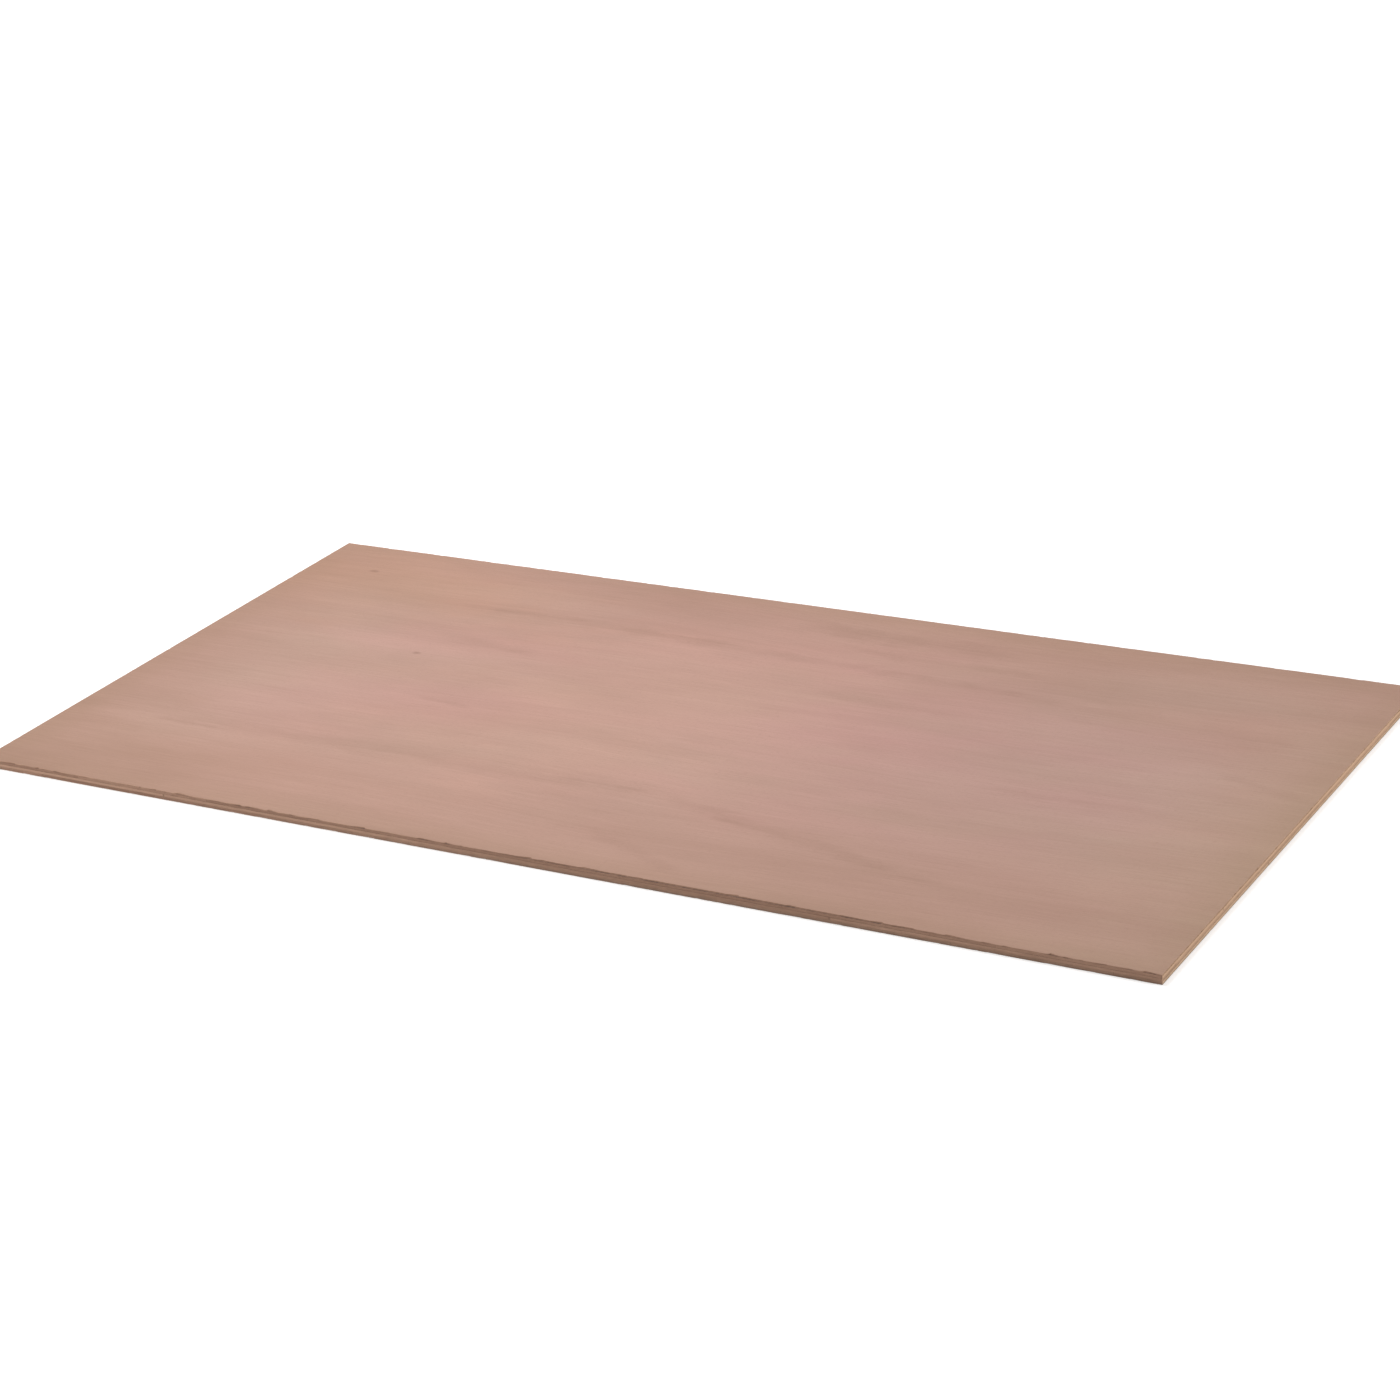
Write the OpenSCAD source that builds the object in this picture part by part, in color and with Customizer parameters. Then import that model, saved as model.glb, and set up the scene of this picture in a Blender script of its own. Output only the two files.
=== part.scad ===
// Plywood sheet: a flat sawn panel of cross-laminated veneers.
// The face grain runs along X, and the sheet lies on Z = 0 with its face veneer up.

/* [Sheet] */
// Length of the sheet, along the grain of the face veneer
sheet_length = 2440; // [600:5:3100]
// Width of the sheet, across the grain of the face veneer
sheet_width = 1220; // [300:5:1550]

/* [Lay-up] */
// Thickness of the face veneer, and of the back veneer that balances it
face_ply = 1.8; // [0.6:0.1:3]
// Thickness of each inner ply
inner_ply = 4.8; // [1.2:0.1:6]
// Number of inner plies, odd so that the lay-up is balanced
inner_plies = 3; // [1:2:11]

/* [Sawn edges] */
// Depth by which the saw tears end-grain plies back from side-grain plies
end_grain_recess = 0.2; // [0.05:0.05:0.5]
// Width of the 45 degree ease that sanding leaves on the long and short arrises
arris_ease = 0.4; // [0.1:0.05:0.5]

/* [Hidden] */

// Plies count from the back veneer at 0 up to the face veneer
face_index = inner_plies + 1;
sheet_thickness = 2 * face_ply + inner_plies * inner_ply;

// How far an extruded section runs past the sheet, so that only the other section cuts it
section_overrun = 10;

// Height of the underside of ply i, where ply face_index + 1 would start on top of the sheet
function ply_bottom(i) =
    i == 0 ? 0 :
    i > face_index ? sheet_thickness :
    face_ply + (i - 1) * inner_ply;

// Grain of the back, the face and every second ply between them runs along the length
function runs_along(i) = i % 2 == 0;

// Half the section at ply i: end grain lies back from side grain by the saw's tear
function half_at(i, span, cuts_along) =
    span / 2 - (runs_along(i) == cuts_along ? 0 : end_grain_recess);

// Outline of one sawn side, from the lower arris up to the upper one
function sawn_side(span, cuts_along) = concat(
    [[half_at(0, span, cuts_along) - arris_ease, 0],
     [half_at(0, span, cuts_along), arris_ease]],
    [for (i = [0 : face_index - 1], j = [i, i + 1]) [half_at(j, span, cuts_along), ply_bottom(i + 1)]],
    [[half_at(face_index, span, cuts_along), sheet_thickness - arris_ease],
     [half_at(face_index, span, cuts_along) - arris_ease, sheet_thickness]]
);

function mirrored_back(points) = [for (i = [len(points) - 1 : -1 : 0]) [-points[i][0], points[i][1]]];

// Full section of the sheet between two opposite sawn sides
module section(span, cuts_along) {
    side = sawn_side(span, cuts_along);
    polygon(concat(side, mirrored_back(side)));
}

// Section across the width, run along the length: its sides are sawn along the face grain
module ripped_bar() {
    rotate([90, 0, 90])
        linear_extrude(height = sheet_length + 2 * section_overrun, center = true)
            section(sheet_width, cuts_along = true);
}

// Section along the length, run across the width: its sides are sawn across the face grain
module crosscut_bar() {
    rotate([90, 0, 0])
        linear_extrude(height = sheet_width + 2 * section_overrun, center = true)
            section(sheet_length, cuts_along = false);
}

module plywood_sheet() {
    color([0.74, 0.60, 0.53])
        intersection() {
            ripped_bar();
            crosscut_bar();
        }
}

plywood_sheet();
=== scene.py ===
# %% [markdown]
# # A sheet of plywood
# A plywood sheet is a stack of rotary-cut veneers, glued with their grain crossed and sawn square.
# This lesson dresses a plain CAD sheet with what the eye looks for: a pale pink face with a faint
# figure, and sawn edges that show every ply. Sizes are in metres. X runs along the grain of the
# face, Y across it and Z up.

import functools
import math
import random
from collections import namedtuple

import bmesh
import bpy
from mathutils import Matrix, Vector, noise


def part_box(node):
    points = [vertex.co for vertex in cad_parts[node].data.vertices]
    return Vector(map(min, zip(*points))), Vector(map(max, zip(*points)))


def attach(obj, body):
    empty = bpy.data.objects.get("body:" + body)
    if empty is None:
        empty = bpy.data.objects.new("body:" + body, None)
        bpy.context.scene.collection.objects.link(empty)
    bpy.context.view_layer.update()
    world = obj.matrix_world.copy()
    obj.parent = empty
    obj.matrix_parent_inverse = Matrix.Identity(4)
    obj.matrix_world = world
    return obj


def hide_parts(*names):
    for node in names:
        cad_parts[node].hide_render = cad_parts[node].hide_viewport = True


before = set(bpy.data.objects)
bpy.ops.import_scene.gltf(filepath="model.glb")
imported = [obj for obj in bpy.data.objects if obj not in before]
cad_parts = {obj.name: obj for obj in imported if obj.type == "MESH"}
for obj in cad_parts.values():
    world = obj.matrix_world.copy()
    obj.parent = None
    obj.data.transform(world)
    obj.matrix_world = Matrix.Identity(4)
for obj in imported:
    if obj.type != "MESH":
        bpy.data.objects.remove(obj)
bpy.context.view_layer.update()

low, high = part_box("plywood_sheet")
LENGTH, WIDTH, THICKNESS = high - low
print(f"CAD sheet: {LENGTH * 1000:.0f} by {WIDTH * 1000:.0f} by {THICKNESS * 1000:.1f} mm")

# %% [markdown]
# ## Camera
# The outline of a rectangle in a picture is enough to find the camera. It could be turned by hand
# until the picture looks right, but four straight edges can be solved for: a sheet twice as long as
# it is wide fits them from about six and a half metres away, with a long lens. The camera turns
# about the sheet, tips down, then rolls a little about its own line of sight.

# %% Camera
scene = bpy.context.scene
AZIMUTH = math.radians(31.80)
ELEVATION = math.radians(22.95)
ROLL = math.radians(-4.88)
DISTANCE = 6.497
AIM_RIGHT = 0.0201
AIM_UP = 0.0607
FOCAL_PIXELS = 3433.2
PHOTO_PIXELS = 1400
FAR_CLIP = 100


def add_object(name, data):
    """A new object in the scene, made of a camera, a light or a mesh."""
    made = bpy.data.objects.new(name, data)
    scene.collection.objects.link(made)
    return made


turn = Matrix.Rotation(AZIMUTH, 3, "Z")
tip = Matrix.Rotation(math.pi / 2 - ELEVATION, 3, "X")
roll = Matrix.Rotation(ROLL, 3, "Z")
facing = turn @ tip @ roll
stand = facing @ Vector((AIM_RIGHT, AIM_UP, DISTANCE))

camera = add_object("camera", bpy.data.cameras.new("camera"))
camera.data.lens = camera.data.sensor_width * FOCAL_PIXELS / PHOTO_PIXELS
camera.data.clip_end = FAR_CLIP
camera.matrix_world = Matrix.Translation(stand) @ facing.to_4x4()
scene.camera = camera
print(f"camera: {camera.data.lens:.1f} mm lens at {[round(v, 2) for v in stand]}")

# %% [markdown]
# ## Nodes in few words
# Every finish below is a small network of nodes. It could be wired by hand in the shader editor,
# but written as code it can be read, changed and repeated. A few helpers keep the networks short:
# most add a node or two, fill or link the inputs, and hand back the result. The Mix node repeats
# the names of its sockets for numbers, vectors and colours, so those for colours go by number. Noise
# is asked for by the size of its spots, because a size can be measured on a real sheet.


# %% Node helpers
def bare_tree(owner):
    """The emptied node tree of a material or a world."""
    owner.use_nodes = True
    owner.node_tree.nodes.clear()
    return owner.node_tree


def add_node(tree, kind, inputs=None, **settings):
    """Add a shader node, set its options, and give its inputs a number, a colour or a link each."""
    made = tree.nodes.new(f"ShaderNode{kind}")
    for name, value in settings.items():
        setattr(made, name, value)
    for socket, value in (inputs or {}).items():
        if isinstance(value, bpy.types.NodeSocket):
            tree.links.new(value, made.inputs[socket])
        else:
            made.inputs[socket].default_value = value
    return made


def maths(tree, operation, *values):
    """The result of a Math node on one, two or three values."""
    return add_node(tree, "Math", dict(enumerate(values)), operation=operation).outputs[0]


def spread(tree, value, start, end, to_start=0.0, to_end=1.0):
    """A value eased from one range to another, and held at the ends."""
    ranges = {"Value": value, "From Min": start, "From Max": end, "To Min": to_start, "To Max": to_end}
    return add_node(tree, "MapRange", ranges, interpolation_type="SMOOTHSTEP").outputs[0]


# %% Vector and colour helpers
MIX_SHARE, MIX_FIRST, MIX_SECOND, MIX_RESULT = 0, 6, 7, 2


def vector_maths(tree, operation, *positions):
    """The outputs of a Vector Math node on one or two positions."""
    return add_node(tree, "VectorMath", dict(enumerate(positions)), operation=operation).outputs


def axes(tree, position):
    """The X, Y and Z of a position."""
    return add_node(tree, "SeparateXYZ", {0: position}).outputs


def vector(tree, **parts):
    """A position from its X, Y and Z, with 0 for those not given."""
    return add_node(tree, "CombineXYZ", parts).outputs[0]


def blend(tree, share, first, second, how="MIX"):
    """Two colours mixed by a share."""
    colours = {MIX_SHARE: share, MIX_FIRST: first, MIX_SECOND: second}
    mixed = add_node(tree, "Mix", colours, data_type="RGBA", blend_type=how)
    return mixed.outputs[MIX_RESULT]


# %% Noise helpers
MIDDLE = 0.5
SOFT = {"detail": 1.0}
FIBROUS = {"detail": 2.0, "roughness": 0.6}
ROUGH = {"detail": 3.0, "roughness": 0.6}


def speckle(tree, position, size, detail=2.0, roughness=0.5):
    """Noise from 0 to 1, with spots of the given size along each axis."""
    scaled = vector_maths(tree, "DIVIDE", position, size)["Vector"]
    look = {"Vector": scaled, "Scale": 1.0, "Detail": detail, "Roughness": roughness}
    return add_node(tree, "TexNoise", look).outputs["Fac"]


def centred(tree, value):
    """A value from 0 to 1, moved to run from -0.5 to 0.5."""
    return maths(tree, "SUBTRACT", value, MIDDLE)


def swing(tree, position, size, detail=2.0, roughness=0.5):
    """Noise from -0.5 to 0.5."""
    return centred(tree, speckle(tree, position, size, detail, roughness))


# %% Group helpers
def floats(labels):
    """Number sockets for a group, one for each label."""
    return dict.fromkeys(labels, "Float")


def new_group(name, inputs, outputs):
    """An empty shader node group with named sockets, and its two end nodes."""
    tree = bpy.data.node_groups.new(name, "ShaderNodeTree")
    for side, sockets in (("INPUT", inputs), ("OUTPUT", outputs)):
        for label, kind in sockets.items():
            tree.interface.new_socket(label, in_out=side, socket_type=f"NodeSocket{kind}")
    return tree, tree.nodes.new("NodeGroupInput").outputs, tree.nodes.new("NodeGroupOutput").inputs


def use_group(tree, group, inputs):
    """The outputs of a group that is placed in a tree with its own values."""
    return add_node(tree, "Group", inputs, node_tree=group).outputs


def connect(tree, values, sockets):
    """Link each named value to the socket of that name."""
    for name, value in values.items():
        tree.links.new(value, sockets[name])


# %% [markdown]
# ## Floor and light
# The sheet lies on a white studio floor. More light would turn the floor white, but would bleach
# the wood too. So the light stays plain, and only what the camera sees of the floor and the world
# is lifted to white, which leaves the sheet's own shadow on it. A large soft lamp hangs over the
# left half of the sheet, a smaller one stands at its right and a weak one before its front left
# corner: the face and the right edge are bright, and the long front edge is in half shade.


# %% Floor
FLOOR_SIZE = 60.0
FLOOR_DROP = 0.0003
FLOOR_WHITE = (0.82, 0.82, 0.82, 1)
PAPER_WHITE = (1, 1, 1, 1)
NEAR_LIFT, FAR_LIFT = 0.50, 0.78
LIFT_START, LIFT_END = 1.2, 4.5


def seen_directly(tree):
    """1 for rays that come from the camera, a mirror or glass, and 0 for rays that carry light."""
    path = add_node(tree, "LightPath").outputs
    seen = maths(tree, "MAXIMUM", path["Is Camera Ray"], path["Is Glossy Ray"])
    return maths(tree, "MAXIMUM", seen, path["Is Transmission Ray"])


def floor_material():
    """Matt white that shows the shadow, lifted to paper white for the camera."""
    material = bpy.data.materials.new("studio_floor")
    tree = bare_tree(material)
    matt = add_node(tree, "BsdfDiffuse", {"Color": FLOOR_WHITE})
    place = add_node(tree, "TexCoord").outputs["Object"]
    away = vector_maths(tree, "LENGTH", place)["Value"]
    wanted = spread(tree, away, LIFT_START, LIFT_END, NEAR_LIFT, FAR_LIFT)
    lift = maths(tree, "MULTIPLY", seen_directly(tree), wanted)
    glow = add_node(tree, "Emission", {"Color": PAPER_WHITE, "Strength": lift})
    both = add_node(tree, "AddShader", {0: matt.outputs[0], 1: glow.outputs[0]})
    add_node(tree, "OutputMaterial", {"Surface": both.outputs[0]})
    return material


ground = bmesh.new()
bmesh.ops.create_grid(ground, x_segments=1, y_segments=1, size=FLOOR_SIZE)
bmesh.ops.translate(ground, vec=(0, 0, low.z - FLOOR_DROP), verts=ground.verts)
floor = add_object("studio_floor", bpy.data.meshes.new("studio_floor"))
ground.to_mesh(floor.data)
ground.free()
floor.data.materials.append(floor_material())
print(f"floor: {2 * FLOOR_SIZE:.0f} m wide, {FLOOR_DROP * 1000:.1f} mm below the sheet")

# %% Lamps
LAMPS = {
    "top_softbox": {"place": (-1.0, 0.0, 3.4), "target": (-0.7, -0.1, 0), "size": 2.0, "power": 73},
    "right_softbox": {"place": (3.8, 0.4, 0.55), "target": (1.2, 0, 0), "size": 1.0, "power": 37},
    "front_softbox": {"place": (-2.8, -2.7, 0.4), "target": (-0.8, -0.6, 0), "size": 0.7, "power": 11},
}


def area_lamp(name, place, target, size, power):
    """A square soft lamp at a place, turned towards a target."""
    lamp = add_object(name, bpy.data.lights.new(name, "AREA"))
    lamp.data.size = size
    lamp.data.energy = power
    lamp.location = place
    lamp.rotation_euler = (Vector(target) - Vector(place)).to_track_quat("-Z", "Y").to_euler()


for name, values in LAMPS.items():
    area_lamp(name, **values)
print("lamps:", list(LAMPS))

# %% World
WORLD_LIGHT = 0.42

world = bpy.data.worlds.new("studio")
sky = bare_tree(world)
even = add_node(sky, "Background", {"Color": PAPER_WHITE, "Strength": WORLD_LIGHT}).outputs[0]
white = add_node(sky, "Background", {"Color": PAPER_WHITE, "Strength": 1.0}).outputs[0]
choice = add_node(sky, "MixShader", {0: seen_directly(sky), 1: even, 2: white})
add_node(sky, "OutputWorld", {"Surface": choice.outputs[0]})
scene.world = world
scene.view_settings.view_transform = "Standard"
print(f"world: even light of {WORLD_LIGHT}")

# %% [markdown]
# ## Lay-up
# Five plies make this sheet: a thin face and back veneer with three thick inner plies between them.
# Every second ply is turned through a right angle, so on any one edge the plies show side grain and
# end grain in turn, with a dark glue line between them. The plies could be five boxes, but glue has
# made them one solid, and boxes would leave hidden faces inside it. So the edge of one solid is
# divided into rows of faces, a few for each ply and one for each glue line, and each row gets its
# own depth and its own finish.

# %% Lay-up
FACE_PLY = 0.0018
INNER_PLIES = 3
INNER_PLY = (THICKNESS - 2 * FACE_PLY) / INNER_PLIES
GLUE_LINE = 0.00016
FACE_ROWS = 3
INNER_ROWS = 3

joints = [FACE_PLY + i * INNER_PLY for i in range(INNER_PLIES + 1)]
ply_bottoms = [0.0] + joints
ply_tops = joints + [THICKNESS]
FACE_INDEX = len(joints)


def row_heights():
    """Heights of the rows up an edge: a few inside each ply, and two beside each glue line."""
    heights = [0.0]
    for ply, (bottom, top) in enumerate(zip(ply_bottoms, ply_tops)):
        first = bottom + (GLUE_LINE / 2 if ply > 0 else 0)
        last = top - (GLUE_LINE / 2 if ply < FACE_INDEX else 0)
        rows = INNER_ROWS if 0 < ply < FACE_INDEX else FACE_ROWS
        heights += [first] * (ply > 0)
        heights += [first + (last - first) * row / rows for row in range(1, rows + 1)]
    return heights


HEIGHTS = row_heights()
print(f"lay-up: {FACE_INDEX + 1} plies, {len(HEIGHTS) - 1} rows up the edge")

# %% [markdown]
# ## The blank
# The two broad sides of a sheet are flat and need few faces, but its edges need many, for the
# splinters that the saw leaves there. A fine grid all over would waste a million faces. So a cube
# stretched to the sheet's size is cut into a coarse grid, and the cuts up its edge are moved to the
# heights of the plies. A bevel eases the arrises, narrow insets leave a few rows on each broad side
# beside the edge, and only that border is then divided finely.

# %% Coarse blank
CELL = 0.04
X_AXIS, Y_AXIS, Z_AXIS = 0, 1, 2
STRAIGHT = 0.999


def edges_along(mesh, axis):
    """Every edge of a mesh that runs along one axis."""
    found = []
    for edge in mesh.edges:
        way = edge.verts[1].co - edge.verts[0].co
        if abs(way[axis]) > STRAIGHT * way.length:
            found.append(edge)
    return found


def divide(mesh, edges, parts):
    """Cut each of the edges into equal parts, with the faces between them."""
    bmesh.ops.subdivide_edges(mesh, edges=edges, cuts=parts - 1, use_grid_fill=True)


last_row = len(HEIGHTS) - 1
sheet = bmesh.new()
bmesh.ops.create_cube(sheet, size=1.0)
bmesh.ops.scale(sheet, vec=(LENGTH, WIDTH, THICKNESS), verts=sheet.verts)
bmesh.ops.translate(sheet, vec=(low + high) / 2, verts=sheet.verts)
divide(sheet, edges_along(sheet, X_AXIS), round(LENGTH / CELL))
divide(sheet, edges_along(sheet, Y_AXIS), round(WIDTH / CELL))
divide(sheet, edges_along(sheet, Z_AXIS), last_row)
for vert in sheet.verts:
    vert.co.z = HEIGHTS[round(vert.co.z / THICKNESS * last_row)]
print(f"coarse blank: {len(sheet.faces)} faces")

# %% Arrises and insets
TINY = 1e-6
ARRIS_EASE = 0.0004
RING_WIDTHS = (0.0012, 0.0018, 0.0024, 0.0028)
BORDER = ARRIS_EASE + sum(RING_WIDTHS)


def level_with(face, height):
    """True for a face that lies flat at a height."""
    return all(abs(vert.co.z - height) < TINY for vert in face.verts)


def is_arris(edge):
    """True for an edge between a broad side and the wall of an edge of the sheet."""
    return len({level_with(face, 0) or level_with(face, THICKNESS) for face in edge.link_faces}) == 2


arrises = [edge for edge in sheet.edges if is_arris(edge)]
bmesh.ops.bevel(
    sheet, geom=arrises, offset=ARRIS_EASE, affect="EDGES", segments=1, profile=0.5, material=-1
)
for height in (0, THICKNESS):
    broad_side = [face for face in sheet.faces if level_with(face, height)]
    for ring in RING_WIDTHS:
        bmesh.ops.inset_region(sheet, faces=broad_side, thickness=ring, use_even_offset=True)
print(f"arrises and insets: {len(sheet.faces)} faces, border {BORDER * 1000:.1f} mm wide")

# %% Fine border
FINE_PARTS = 16


def in_border(edge, axis):
    """True if an edge that runs along one axis lies in the border at either side of the other."""
    across, half = (Y_AXIS, WIDTH / 2) if axis == X_AXIS else (X_AXIS, LENGTH / 2)
    return all(abs(vert.co[across]) > half - BORDER - TINY for vert in edge.verts)


for axis in (X_AXIS, Y_AXIS):
    divide(sheet, [edge for edge in edges_along(sheet, axis) if in_border(edge, axis)], FINE_PARTS)
print(f"fine border: {len(sheet.faces)} faces, {CELL / FINE_PARTS * 1000:.1f} mm apart")

# %% [markdown]
# ## Which face is which
# While the blank is still square, the place of each face says what it is: the face veneer, the back
# veneer, a glue line, or the side grain or end grain of a ply on a long or a short edge. Finishes
# could be painted on face by face, but a rule on places also holds for a sheet of another size.
# Each face gets the slot of its finish and keeps the number of its ply.

# %% Slots
SLOTS = (
    "face_veneer",
    "back_veneer",
    "long_edge_side_grain",
    "long_edge_end_grain",
    "short_edge_side_grain",
    "short_edge_end_grain",
    "glue_line",
)
GLUE_REACH = GLUE_LINE / 4
ply_number = sheet.faces.layers.float.new("ply")


def ply_at(height):
    """The ply at a height, counted from the back veneer at 0."""
    return sum(height > joint for joint in joints)


def runs_along(ply):
    """True for plies with their grain along the sheet: back, face and every second one between."""
    return ply % 2 == 0


def beside_long_edge(place):
    """True for a place that is nearer a long edge of the sheet than a short one."""
    return WIDTH / 2 - abs(place.y) < LENGTH / 2 - abs(place.x)


def slot_of(face):
    """The name of the finish that a face of the square blank takes."""
    if level_with(face, THICKNESS):
        return "face_veneer"
    if level_with(face, 0):
        return "back_veneer"
    place = face.calc_center_median()
    if any(abs(place.z - joint) < GLUE_REACH for joint in joints):
        return "glue_line"
    on_long_edge = beside_long_edge(place)
    grain = "side" if runs_along(ply_at(place.z)) == on_long_edge else "end"
    return f"{'long' if on_long_edge else 'short'}_edge_{grain}_grain"


for face in sheet.faces:
    face.material_index = SLOTS.index(slot_of(face))
    face[ply_number] = ply_at(face.calc_center_median().z)
print({name: sum(face.material_index == i for face in sheet.faces) for i, name in enumerate(SLOTS)})

# %% [markdown]
# ## A flat map
# When the finish is baked, every face needs its own place in a square picture. An automatic unwrap
# would shrink the thin plies to less than a pixel. So the map is laid out by rule: the two broad
# sides one above the other, and the four edges in strips that are stretched across, so that each
# ply still gets several pixels.

# %% Flat map
MAP_GAP = 0.004
WHOLE, FIRST_HALF, SECOND_HALF = (0.0, 1.0), (0.0, 0.5), (0.5, 1.0)
FACE_BAND = (0.40, 1.0)
BACK_BAND = (0.16, 0.40)
FRONT_EDGE_BAND = (0.11, 0.16)
REAR_EDGE_BAND = (0.06, 0.11)
END_EDGES_BAND = (0.0, 0.06)
flat_map = sheet.loops.layers.uv.new("OFBake")


def within(share, band):
    """A share of a band, kept clear of the band's ends."""
    start, end = band
    return start + MAP_GAP + share * (end - start - 2 * MAP_GAP)


def map_place(face, corner):
    """Where a corner of a face lies in the flat map."""
    along = corner.x / LENGTH + MIDDLE
    across = corner.y / WIDTH + MIDDLE
    up = corner.z / THICKNESS
    name = SLOTS[face.material_index]
    if name == "face_veneer":
        return within(along, WHOLE), within(across, FACE_BAND)
    if name == "back_veneer":
        return within(1 - along, WHOLE), within(across, BACK_BAND)
    place = face.calc_center_median()
    if beside_long_edge(place):
        if place.y < 0:
            return within(along, WHOLE), within(up, FRONT_EDGE_BAND)
        return within(1 - along, WHOLE), within(up, REAR_EDGE_BAND)
    if place.x > 0:
        return within(across, FIRST_HALF), within(up, END_EDGES_BAND)
    return within(1 - across, SECOND_HALF), within(up, END_EDGES_BAND)


for face in sheet.faces:
    for loop in face.loops:
        loop[flat_map].uv = map_place(face, loop.vert.co)
print(f"flat map: {sum(len(face.loops) for face in sheet.faces)} corners")

# %% [markdown]
# ## Chips
# A saw breaks chips off the veneers at the rim. Along the grain they are long slivers, torn off
# short at one end and running out to nothing at the other. Across the grain they are small notches.
# Smooth noise would make the rim wavy like cloth, so the chips are drawn one by one instead. Each
# edge has its own seed, so that every run gives the same sheet, and its own share of the depth: the
# front edge is rough, and the rear edge is almost clean.

# %% Chips
SLIVER = {"gap": (0.002, 0.024), "length": (0.010, 0.050), "depth": 0.0046, "torn_end": 0.12}
NOTCH = {"gap": (0.003, 0.045), "length": (0.004, 0.016), "depth": 0.0016, "torn_end": 0.35}
FAINTNESS = 1.2
EVEN_CHANCE = 0.5
EDGE_SEEDS = {(Y_AXIS, -1): 31, (Y_AXIS, 1): 47, (X_AXIS, -1): 62, (X_AXIS, 1): 85}
CHIP_SHARES = {(Y_AXIS, -1): 1.0, (Y_AXIS, 1): 0.35, (X_AXIS, -1): 0.5, (X_AXIS, 1): 1.0}


def draw_chips(reach, seed, kind):
    """Chips along one edge: where each starts and ends, its depth, and which end is torn short."""
    chance = random.Random(seed)
    drawn = []
    place = -reach
    while place < reach:
        start = place + chance.uniform(*kind["gap"])
        place = start + chance.uniform(*kind["length"])
        depth = kind["depth"] * chance.random() ** FAINTNESS
        drawn.append((start, place, depth, chance.random() < EVEN_CHANCE))
    return drawn


def chip_depth(along, drawn, torn_end):
    """How deep the chip at a place along an edge is, or 0 between chips."""
    for start, end, depth, turned in drawn:
        if start < along < end:
            share = (along - start) / (end - start)
            share = 1 - share if turned else share
            return depth * min(share / torn_end, (1 - share) / (1 - torn_end))
    return 0.0


chips = {}
for (across, side), seed in EDGE_SEEDS.items():
    kind, reach = (SLIVER, LENGTH / 2) if across == Y_AXIS else (NOTCH, WIDTH / 2)
    chips[across, side, "face"] = draw_chips(reach, seed, kind)
    chips[across, side, "back"] = draw_chips(reach, seed + 1, kind)
print("chips:", sum(len(drawn) for drawn in chips.values()))

# %% [markdown]
# ## Sawn walls
# The saw leaves side grain smooth and tears end grain a little, so the end grain lies deeper. The
# blade wanders, and the joints between plies rise and fall with the thickness of each veneer. All
# this could be sculpted, but as a rule for how far a point moves it works on every edge alike.
# Points move only inwards, so the sheet keeps its size. Where a chip is gone, its wall stands nearly
# upright, and the glued face of the next ply shows below it as a dark ledge. One stretch of the
# front rim is worn back as well.

# %% Rim
FRAY, FRAY_PITCH, FRAY_SEED = 0.00035, 0.007, 0.5
BACK_SHARE = 0.3
WORN_RIM = {"edge": (Y_AXIS, -1), "middle": 0.40, "reach": 0.50, "depth": 0.0034}
DEEPEST_RIM = 0.72 * BORDER


def wave(seed, along, up=0.0):
    """Smooth noise from 0 to 1 at a place along an edge."""
    return 0.5 + 0.5 * noise.noise(Vector((along, up, seed)))


def worn_depth(along):
    """How far the worn stretch of a rim is rubbed away: most in its middle, and nothing at its ends."""
    share = max(0.0, 1 - abs(along - WORN_RIM["middle"]) / WORN_RIM["reach"])
    return WORN_RIM["depth"] * math.sin(share * math.pi / 2)


@functools.lru_cache(maxsize=None)
def rim_depth(along, edge, broad_side):
    """How far the rim of the face or the back is broken away at a place along an edge."""
    kind = SLIVER if edge[0] == Y_AXIS else NOTCH
    broken = CHIP_SHARES[edge] * chip_depth(along, chips[(*edge, broad_side)], kind["torn_end"])
    frayed = FRAY * wave(EDGE_SEEDS[edge] + FRAY_SEED, along / FRAY_PITCH)
    if broad_side == "back":
        return BACK_SHARE * (broken + frayed)
    worn = worn_depth(along) if edge == WORN_RIM["edge"] else 0
    return min(broken + frayed + worn, DEEPEST_RIM)


# %% Wall
END_GRAIN_RECESS = 0.0002
END_GRAIN_TEAR, TEAR_LENGTH, TEAR_HEIGHT = 0.00025, 0.005, 0.0015
SAW_WANDER, SAW_PITCH, SAW_SEED = 0.00012, 0.09, 3.5
WALL_LEAN = 0.2


def sawn_depth(along, height, edge):
    """How far the wall of an edge lies back from the square blank."""
    seed = EDGE_SEEDS[edge]
    wander = SAW_WANDER * wave(seed + SAW_SEED, along / SAW_PITCH)
    ply = ply_at(height)
    if runs_along(ply) == (edge[0] == Y_AXIS):
        return wander
    torn = wave(seed + ply, along / TEAR_LENGTH, height / TEAR_HEIGHT)
    return wander + END_GRAIN_RECESS + END_GRAIN_TEAR * torn


def set_back(along, inset, height, edge):
    """How far a border point moves inwards from one edge of the square blank."""
    from_face = THICKNESS - height
    rim = rim_depth(along, edge, "face" if from_face < height else "back")
    if inset > TINY:
        return rim * (1 - inset / BORDER)
    depth = sawn_depth(along, height, edge)
    below_rim = min(from_face, height)
    if below_rim < FACE_PLY:
        depth = max(depth, rim * (1 - WALL_LEAN * below_rim / FACE_PLY))
    return depth


# %% Move the border
JOINT_WANDER, JOINT_PITCH, JOINT_SEED = 0.00056, 0.16, 7.5


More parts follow.
